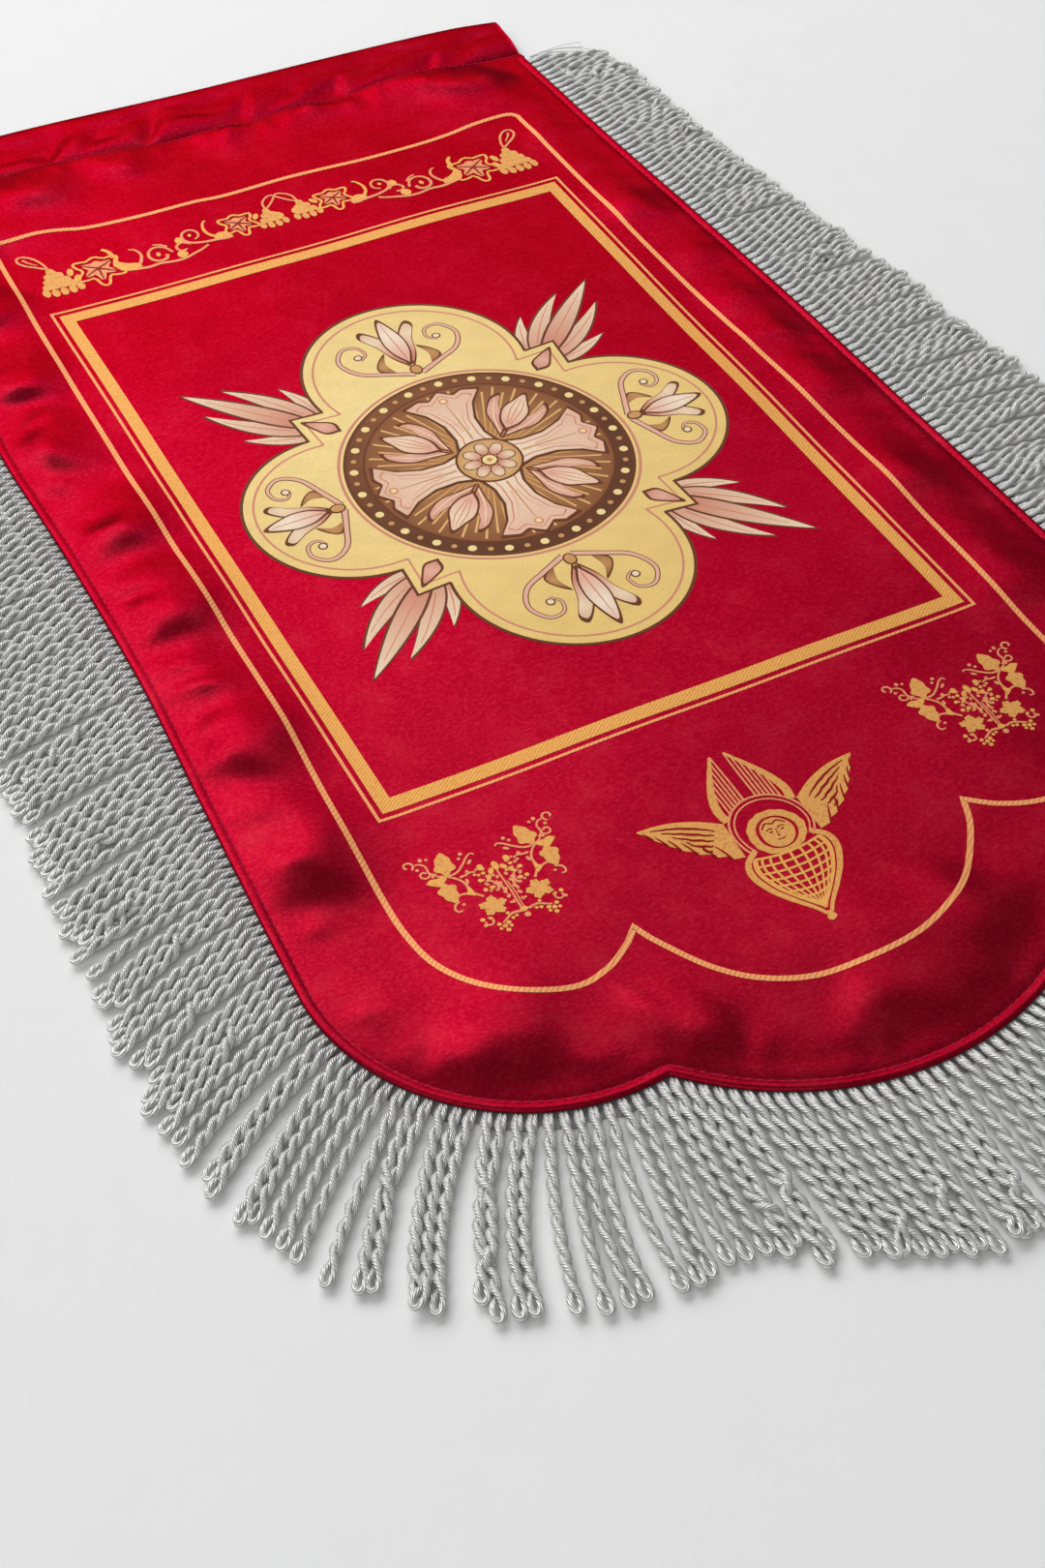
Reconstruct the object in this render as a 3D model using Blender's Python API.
"""Church banner: a scalloped satin panel with a rod sleeve along its top and a bullion fringe round its
other edges, lying face up. Metres, +Z up, +Y towards the rod sleeve, face towards +Z."""

import math

import bmesh
import bpy
from mathutils import Vector
from mathutils.geometry import delaunay_2d_cdt

# ---- driving dimensions (metres) ----------------------------------------------------------------
UNIT = 0.2143            # width of the printed rectangular frame: every plan size below is in this unit
CLOTH_T = 0.0015         # satin and its hem allowance
SLEEVE_WALL = 0.0011     # one wall of the rod sleeve
SLEEVE_H = 0.0082        # crown of the puffed sleeve
FRINGE_T = 0.0040        # thickness of a bullion cord
TAPE_T = 0.0012          # heading tape of the fringe, under the hem
TAPE_IN = 0.0080         # how far the tape reaches in under the hem
GAP = 0.0003             # clearance between sewn pieces
TEETH = 66               # teeth of the fringe comb, each a bunch of four or five cords

# ---- plan of the cloth, in UNITs, from the middle of the printed frame --------------------------
STITCH = ((-0.67, 1.132), (-0.39, 1.1325), (0.0, 1.128), (0.40, 1.128), (0.67, 1.120))      # x, y of the sleeve's seam
FOLD = ((-0.67, 1.262), (-0.37, 1.279), (0.0, 1.270), (0.30, 1.270), (0.55, 1.264), (0.67, 1.246))  # x, y of the top fold
LEFT = ((-0.92, -0.722), (-0.70, -0.713), (-0.49, -0.7035), (-0.29, -0.694), (-0.08, -0.693), (0.12, -0.697),
        (0.34, -0.7035), (0.50, -0.692), (0.79, -0.676), (1.13, -0.664))                      # y, x of the left edge
RIGHT = ((-0.92, 0.704), (-0.53, 0.697), (-0.19, 0.690), (0.11, 0.685), (0.50, 0.670), (0.79, 0.658), (1.13, 0.650))
LOBE_L = (-0.400, -0.920, 0.322)   # x, y, radius of the left corner lobe
LOBE_R = (0.384, -0.920, 0.320)
LOBE_M = (-0.035, -0.930, 0.447)   # the middle lobe
FLAT = (-0.45, 0.45, -0.72, 0.70)  # x and y limits of the part that lies dead flat

# ---- soft ridges of the cloth: x, y, axis in degrees, half length, half width (UNITs), height (mm)
RIDGES = (
    (-0.61, 0.60, 14, 0.14, 0.050, 2.6), (-0.62, 0.385, 10, 0.13, 0.045, 2.4), (-0.61, 0.15, 18, 0.14, 0.050, 2.8),
    (-0.61, -0.09, 8, 0.13, 0.048, 2.6), (-0.62, -0.27, 6, 0.11, 0.034, 1.8), (-0.62, -0.42, 12, 0.12, 0.040, 2.2),
    (-0.62, -0.61, 12, 0.13, 0.045, 2.6), (-0.62, -0.82, 20, 0.14, 0.050, 2.2),
    (0.60, 0.70, -14, 0.13, 0.060, 2.6), (0.61, 0.33, -10, 0.12, 0.055, 2.2), (0.61, 0.06, -16, 0.11, 0.035, 2.4),
    (0.61, -0.12, -14, 0.12, 0.040, 2.6), (0.62, -0.34, -10, 0.12, 0.050, 2.2), (0.62, -0.60, -12, 0.12, 0.050, 2.2),
    (-0.47, 0.98, 32, 0.22, 0.070, 4.0), (0.47, 1.00, 150, 0.22, 0.070, 4.0), (-0.20, 1.07, 60, 0.07, 0.040, 2.0),
    (0.08, 1.07, 100, 0.07, 0.045, 1.8), (-0.56, 0.80, 100, 0.16, 0.060, 2.0), (0.57, 0.86, 75, 0.16, 0.055, 2.0),
    (-0.36, -1.11, 75, 0.13, 0.050, 3.2), (0.31, -1.10, 105, 0.13, 0.050, 3.0), (-0.56, -1.03, 45, 0.12, 0.050, 2.2),
    (-0.03, -1.28, 8, 0.18, 0.040, 2.0), (0.54, -1.03, 135, 0.12, 0.050, 2.2),
)

# ---- fringe: place along the edge (0 to 5: right side, right lobe, middle lobe, left lobe, left side),
#      direction at the root and at the tip in degrees, length in UNITs
FRINGE = (
    (0.00, -20, -19, 0.180), (0.10, -12, -12, 0.184), (0.20, -4, -4, 0.182), (0.35, 0, -2, 0.192), (0.50, 0, -2, 0.220),
    (0.65, -2, -6, 0.240), (0.80, -6, -12, 0.255), (1.00, -14, -22, 0.268), (1.25, -28, -40, 0.285), (1.50, -46, -60, 0.292),
    (1.75, -64, -74, 0.290), (2.00, -80, -84, 0.280), (2.25, -84, -86, 0.278), (2.50, -90, -90, 0.278), (2.75, -91, -89, 0.276),
    (3.00, -96, -92, 0.280), (3.25, -112, -100, 0.290), (3.50, -130, -116, 0.292), (3.75, -146, -134, 0.280),
    (4.00, -158, -150, 0.262), (4.10, -164, -156, 0.258), (4.30, -170, -160, 0.258), (4.50, -174, -166, 0.258),
    (4.70, -174, -168, 0.248), (4.90, -168, -164, 0.225), (5.00, -161, -161, 0.200),
)


def table(rows, x, column=1):
    """A smooth line through the rows' points at x (first column)."""
    if x <= rows[0][0]:
        return rows[0][column]
    if x >= rows[-1][0]:
        return rows[-1][column]
    i = max(k for k in range(len(rows) - 1) if rows[k][0] <= x)
    a, b = rows[i], rows[i + 1]
    t = (x - a[0]) / (b[0] - a[0])
    slope = []
    for k in (i, i + 1):
        lo, hi = rows[max(k - 1, 0)], rows[min(k + 1, len(rows) - 1)]
        slope.append((hi[column] - lo[column]) / (hi[0] - lo[0]) * (b[0] - a[0]))
    return ((2 * t**3 - 3 * t**2 + 1) * a[column] + (t**3 - 2 * t**2 + t) * slope[0]
            + (3 * t**2 - 2 * t**3) * b[column] + (t**3 - t**2) * slope[1])


def smooth(t):
    t = min(1.0, max(0.0, t))
    return t * t * (3 - 2 * t)


def crossing(c1, c2, side):
    """The lower point where two circles cross."""
    dx, dy = c2[0] - c1[0], c2[1] - c1[1]
    d = math.hypot(dx, dy)
    a = (c1[2] ** 2 - c2[2] ** 2 + d * d) / (2 * d)
    h = math.sqrt(c1[2] ** 2 - a * a)
    p = (c1[0] + a * dx / d, c1[1] + a * dy / d)
    both = [(p[0] + h * dy / d * s, p[1] - h * dx / d * s) for s in (-1, 1)]
    return min(both, key=lambda q: q[1])


CUSP_R, CUSP_L = crossing(LOBE_R, LOBE_M, 1), crossing(LOBE_M, LOBE_L, -1)


def arc(circle, start, end, t):
    """A point on the circle between two of its points, going clockwise from start to end."""
    a0 = math.atan2(start[1] - circle[1], start[0] - circle[0])
    a1 = math.atan2(end[1] - circle[1], end[0] - circle[0])
    while a1 > a0:
        a1 -= 2 * math.pi
    a = a0 + (a1 - a0) * t
    return (circle[0] + circle[2] * math.cos(a), circle[1] + circle[2] * math.sin(a))


TOP_OF_FRINGE = 1.10


def edge(s):
    """A point of the cloth's edge, s from 0 at the top of the right side to 5 at the top of the left side."""
    if s <= 1:
        y = TOP_OF_FRINGE + (LOBE_R[1] - TOP_OF_FRINGE) * s
        return (table(RIGHT, y), y)
    if s <= 2:
        return arc(LOBE_R, (LOBE_R[0] + LOBE_R[2], LOBE_R[1]), CUSP_R, s - 1)
    if s <= 3:
        return arc(LOBE_M, CUSP_R, CUSP_L, s - 2)
    if s <= 4:
        return arc(LOBE_L, CUSP_L, (LOBE_L[0] - LOBE_L[2], LOBE_L[1]), s - 3)
    y = LOBE_L[1] + (TOP_OF_FRINGE - LOBE_L[1]) * (s - 4)
    return (table(LEFT, y), y)


def spaced(points, count):
    """Places (index as a float) at equal lengths along a polyline."""
    length = [0.0]
    for p, q in zip(points, points[1:]):
        length.append(length[-1] + math.hypot(q[0] - p[0], q[1] - p[1]))
    out, k = [], 0
    for i in range(count + 1):
        want = length[-1] * i / count
        while k < len(points) - 2 and length[k + 1] < want:
            k += 1
        out.append(k + (want - length[k]) / max(length[k + 1] - length[k], 1e-12))
    return out, length[-1]


def at(points, i):
    k = min(int(i), len(points) - 2)
    f = i - k
    return (points[k][0] + (points[k + 1][0] - points[k][0]) * f, points[k][1] + (points[k + 1][1] - points[k][1]) * f)


def ridges(x, y):
    """Height of the cloth's underside, from the soft ridges, in metres. Dead flat in the middle."""
    out = max(FLAT[0] - x, x - FLAT[1], FLAT[2] - y, y - FLAT[3])
    mask = smooth(out / 0.09)
    if mask == 0:
        return 0.0
    z = 0.0
    for cx, cy, angle, half_l, half_w, height in RIDGES:
        a = math.radians(angle)
        u = (x - cx) * math.cos(a) + (y - cy) * math.sin(a)
        v = -(x - cx) * math.sin(a) + (y - cy) * math.cos(a)
        z += height * math.exp(-((u / half_l) ** 2) - (v / half_w) ** 2)
    return 0.001 * z * mask


def material(name, colour, roughness, metallic=0.0):
    mat = bpy.data.materials.new(name)
    mat.use_nodes = True
    shader = mat.node_tree.nodes["Principled BSDF"]
    shader.inputs["Base Color"].default_value = (*colour, 1)
    shader.inputs["Roughness"].default_value = roughness
    shader.inputs["Metallic"].default_value = metallic
    return mat


def new_object(name, verts, faces, mat):
    mesh = bpy.data.meshes.new(name)
    mesh.from_pydata(verts, [], faces)
    bm = bmesh.new()
    bm.from_mesh(mesh)
    bmesh.ops.triangulate(bm, faces=bm.faces[:])
    bmesh.ops.recalc_face_normals(bm, faces=bm.faces[:])
    bm.to_mesh(mesh)
    bm.free()
    mesh.materials.append(mat)
    ob = bpy.data.objects.new(name, mesh)
    bpy.context.scene.collection.objects.link(ob)
    return ob


# ---- the cloth panel ----------------------------------------------------------------------------
def outline():
    """The cloth panel's outline below the sleeve, anticlockwise, with no point twice."""
    gap = 0.5 * GAP / UNIT
    pts = []
    fine = [edge(5 * i / 1500) for i in range(1501)]
    places, _ = spaced(fine, 112)
    for i in reversed(places):                       # left side top, round the bottom, right side top
        pts.append(at(fine, i))
    xr, xl = table(RIGHT, 1.13), table(LEFT, 1.13)
    n = 22
    for i in range(n + 1):
        x = xr + (xl - xr) * i / n
        pts.append((x, table(STITCH, x) - gap))
    return pts


def inside_distance(p, poly):
    """Distance from p to the polygon's edges, positive inside."""
    best, inside = 1e9, False
    n = len(poly)
    for i in range(n):
        (x1, y1), (x2, y2) = poly[i], poly[(i + 1) % n]
        dx, dy = x2 - x1, y2 - y1
        t = ((p[0] - x1) * dx + (p[1] - y1) * dy) / max(dx * dx + dy * dy, 1e-12)
        t = min(1.0, max(0.0, t))
        best = min(best, math.hypot(p[0] - x1 - t * dx, p[1] - y1 - t * dy))
        if (y1 > p[1]) != (y2 > p[1]) and p[0] < (x2 - x1) * (p[1] - y1) / (y2 - y1) + x1:
            inside = not inside
    return best if inside else -best


def fringe_distance(x, y, line):
    return min(math.hypot(x - px, y - py) for px, py in line)


def cloth_panel():
    poly = outline()
    line = [edge(5 * i / 400) for i in range(401)]
    rings = []
    for depth in (0.020, 0.045, 0.080):             # rows of points that follow the hem
        count = 100 if depth < 0.03 else 84 if depth < 0.06 else 70
        n = len(poly)
        dense = [(poly[i][0] + (poly[(i + 1) % n][0] - poly[i][0]) * f, poly[i][1] + (poly[(i + 1) % n][1] - poly[i][1]) * f)
                 for i in range(n) for f in (0, 0.5)]
        moved = []
        m = len(dense)
        for i in range(m):
            (ax, ay), (bx, by) = dense[i - 2], dense[(i + 2) % m]
            d = math.hypot(bx - ax, by - ay)
            q = (dense[i][0] - (by - ay) / d * depth, dense[i][1] + (bx - ax) / d * depth)
            if inside_distance(q, poly) > depth * 0.93:
                moved.append(q)
        moved.append(moved[0])
        places, _ = spaced(moved, count)
        rings += [at(moved, i) for i in places[:-1]]
    pts = [Vector(p) for p in poly] + [Vector(p) for p in rings]
    flat_step, fine_step = 0.130, 0.050
    y, row = -1.33, 0
    while y < 1.12:
        dense_row = y < FLAT[2] - 0.01 or y > FLAT[3] + 0.01
        x = -0.70 + (0.5 * fine_step if row % 2 else 0)
        while x < 0.70:
            middle = FLAT[0] + 0.02 < x < FLAT[1] - 0.02 and not dense_row
            keep = not middle or (row % 3 == 0 and int(round((x + 0.70) / fine_step)) % 3 == 0)
            if keep and inside_distance((x, y), poly) > 0.105:
                pts.append(Vector((x, y)))
            x += fine_step
        y += fine_step * 0.9
        row += 1
    n = len(poly)
    out = delaunay_2d_cdt(pts, [(i, (i + 1) % n) for i in range(n)], [], 1, 1e-6)
    verts2, tris = out[0], [list(f) for f in out[2]]
    loop = [None] * n
    for new, olds in enumerate(out[3]):
        for old in olds:
            if old < n:
                loop[old] = new
    low, high = [], []
    for v in verts2:
        x, y = v
        lift = 1.0 - smooth((fringe_distance(x, y, line) - 0.085) / 0.075)
        z = max(ridges(x, y), (TAPE_T + 0.0005) * lift)
        low.append((x * UNIT, y * UNIT, z))
        high.append((x * UNIT, y * UNIT, z + CLOTH_T))
    k = len(low)
    faces = [[a, b, c] for a, b, c in tris] + [[c + k, b + k, a + k] for a, b, c in tris]
    faces += [[loop[i], loop[(i + 1) % n], loop[(i + 1) % n] + k, loop[i] + k] for i in range(n)]
    return new_object("cloth", low + high, faces, material("red_satin", (0.42, 0.004, 0.020), 0.42))


# ---- the rod sleeve -----------------------------------------------------------------------------
def sleeve():
    """A flattened tunnel open at both ends: the cloth turned over and sewn down along the seam."""
    sections, outer_n, inner_n = 20, 9, 8
    verts, faces = [], []
    for i in range(sections + 1):
        f = i / sections
        x0, x1 = table(LEFT, 1.13), table(RIGHT, 1.13)
        x = x0 + (x1 - x0) * f
        puff = 1.0 + 0.020 * math.sin(9.0 * f + 0.6) + 0.012 * math.sin(23.0 * f)
        y0 = table(STITCH, x) + 0.5 * GAP / UNIT
        y1 = table(FOLD, x)
        lean = 0.007 * (2 * f - 1)                  # the ends flare a little towards the fold

        def place(u, z):
            v = 0.5 * (u + 1)
            return ((x + lean * v) * UNIT, (y0 + (y1 - y0) * v) * UNIT, z)

        def top(u):
            return 0.0016 + (SLEEVE_H * puff - 0.0016) * (1 - abs(u) ** 2.4) + 0.0022 * smooth((u - 0.2) / 0.8)

        def bottom(u):
            return 0.0030 * (max(0.0, u - 0.25) / 0.75) ** 2

        ring = []
        for k in range(outer_n):                    # outer skin, along the top and back underneath
            u = -1 + 2 * k / (outer_n - 1)
            ring.append(place(u, top(u)))
        for k in range(outer_n):
            u = 1 - 2 * k / (outer_n - 1)
            ring.append(place(u, bottom(u)))
        for k in range(inner_n):                    # the tunnel
            u = -0.80 + 1.62 * k / (inner_n - 1)
            ring.append(place(u, top(u) - SLEEVE_WALL))
        for k in range(inner_n):
            u = 0.82 - 1.62 * k / (inner_n - 1)
            ring.append(place(u, bottom(u) + SLEEVE_WALL))
        verts += ring
    a, b = 2 * outer_n, 2 * inner_n
    m = a + b
    for i in range(sections):
        for k in range(a):
            p, q = i * m + k, i * m + (k + 1) % a
            faces.append([p, q, q + m, p + m])
        for k in range(b):
            p, q = i * m + a + k, i * m + a + (k + 1) % b
            faces.append([q, p, p + m, q + m])
    for base, flip in ((0, False), (sections * m, True)):   # the two open ends: a band between skin and tunnel
        # walk outer top, and inner top, with the same number of steps by nearest place
        for half in (0, 1):
            outer = [base + half * outer_n + k for k in range(outer_n)]
            inner = [base + a + half * inner_n + k for k in range(inner_n)]
            oi = ii = 0
            while oi < outer_n - 1 or ii < inner_n - 1:
                go_outer = ii == inner_n - 1 or (oi < outer_n - 1 and (oi + 0.5) / (outer_n - 1) <= (ii + 0.5) / (inner_n - 1))
                if go_outer:
                    tri = [outer[oi], outer[oi + 1], inner[ii]]
                    oi += 1
                else:
                    tri = [outer[oi], inner[ii + 1], inner[ii]]
                    ii += 1
                faces.append(tri[::-1] if flip else tri)
            last_outer, next_outer = outer[-1], base + (outer_n if half == 0 else 0)
            last_inner, next_inner = inner[-1], base + a + (inner_n if half == 0 else 0)
            quad = [last_outer, next_outer, next_inner, last_inner]
            faces.append(quad[::-1] if flip else quad)
    return new_object("heading", verts, faces, material("red_satin_sleeve", (0.40, 0.004, 0.018), 0.42))


# ---- the fringe ---------------------------------------------------------------------------------
def fringe():
    """One comb: a tape under the hem, and teeth that lie on the surface, swept as the cords lie."""
    fine = [edge(5 * i / 3000) for i in range(3001)]
    places, length = spaced(fine, TEETH * 10)
    verts, faces = [], []

    def add(p, z):
        verts.append((p[0] * UNIT, p[1] * UNIT, z))
        return len(verts) - 1

    columns = []
    for t in range(TEETH):
        gap = 0.09 if t else 0.0
        for f in (gap, 0.91 if t < TEETH - 1 else 1.0):
            i = places[t * 10] + (places[t * 10 + 10] - places[t * 10]) * f
            s = 5 * i / 3000
            p = at(fine, i)
            q, r = at(fine, max(i - 6, 0)), at(fine, min(i + 6, 2999.9))
            d = math.hypot(r[0] - q[0], r[1] - q[1])
            tangent = ((r[0] - q[0]) / d, (r[1] - q[1]) / d)
            normal = (-tangent[1], tangent[0])       # outwards: the path runs clockwise
            columns.append((s, p, normal, tangent, f))
    tape_in, over, full = TAPE_IN / UNIT, 0.0012 / UNIT, 0.0085 / UNIT
    rows = []
    for j, (s, p, normal, tangent, f) in enumerate(columns):
        tooth = j // 2
        uneven = 1 + 0.045 * math.sin(2.7 * tooth) + 0.03 * math.sin(5.3 * tooth + 1)
        reach = table(FRINGE, s, 3) * uneven
        root, tip = (math.radians(table(FRINGE, s, c)) for c in (1, 2))
        inner = (p[0] - normal[0] * tape_in, p[1] - normal[1] * tape_in)
        outer = (p[0] + normal[0] * over, p[1] + normal[1] * over)
        start = (p[0] + normal[0] * full, p[1] + normal[1] * full)
        middle = (start[0] + 0.45 * (reach - full) * math.cos(root), start[1] + 0.45 * (reach - full) * math.sin(root))
        end = (middle[0] + 0.55 * (reach - full) * math.cos(tip), middle[1] + 0.55 * (reach - full) * math.sin(tip))
        side = 1 if j % 2 == 0 else -1               # draws the tip in a little towards the tooth's middle
        end = (end[0] + side * tangent[0] * 0.006, end[1] + side * tangent[1] * 0.006)
        near = (middle[0] + (end[0] - middle[0]) * 0.90, middle[1] + (end[1] - middle[1]) * 0.90)
        low = [add(inner, 0.0), add(outer, 0.0), add(start, 0.0), add(middle, 0.0), add(near, 0.0), add(end, 0.0008)]
        high = [add(inner, TAPE_T), add(outer, TAPE_T), add(start, FRINGE_T * 0.92), add(middle, FRINGE_T),
                add(near, FRINGE_T), add(end, FRINGE_T * 0.7)]
        rows.append((low, high))
    for j in range(len(rows) - 1):
        (l0, h0), (l1, h1) = rows[j], rows[j + 1]
        last = 5 if j % 2 == 0 else 2                # a tooth runs to its tip, the gap between teeth stops at the band
        for k in range(last):
            faces.append([l0[k], l0[k + 1], l1[k + 1], l1[k]])
            faces.append([h0[k], h1[k], h1[k + 1], h0[k + 1]])
        faces.append([l0[0], l1[0], h1[0], h0[0]])
        faces.append([l0[last], h0[last], h1[last], l1[last]])
        if j % 2 == 0:
            first = 2 if j else 0
            for k in range(first, 5):
                faces.append([l0[k], h0[k], h0[k + 1], l0[k + 1]])
            first = 2 if j < len(rows) - 2 else 0
            for k in range(first, 5):
                faces.append([l1[k], l1[k + 1], h1[k + 1], h1[k]])
    return new_object("fringe", verts, faces, material("silver_grey_cord", (0.36, 0.36, 0.345), 0.5))


def main():
    for ob in list(bpy.data.objects):
        bpy.data.objects.remove(ob, do_unlink=True)
    made = [cloth_panel(), sleeve(), fringe()]
    # the origin goes under the middle of the whole banner
    points = [v.co for ob in made for v in ob.data.vertices]
    centre = Vector(((min(p.x for p in points) + max(p.x for p in points)) / 2,
                     (min(p.y for p in points) + max(p.y for p in points)) / 2, min(p.z for p in points)))
    for ob in made:
        for v in ob.data.vertices:
            v.co -= centre
        ob.data.update()
    print("size", [round(max(p[i] for p in points) - min(p[i] for p in points), 4) for i in range(3)],
          "triangles", [(ob.name, len(ob.data.polygons)) for ob in made], "shift", [round(c, 5) for c in centre])


main()
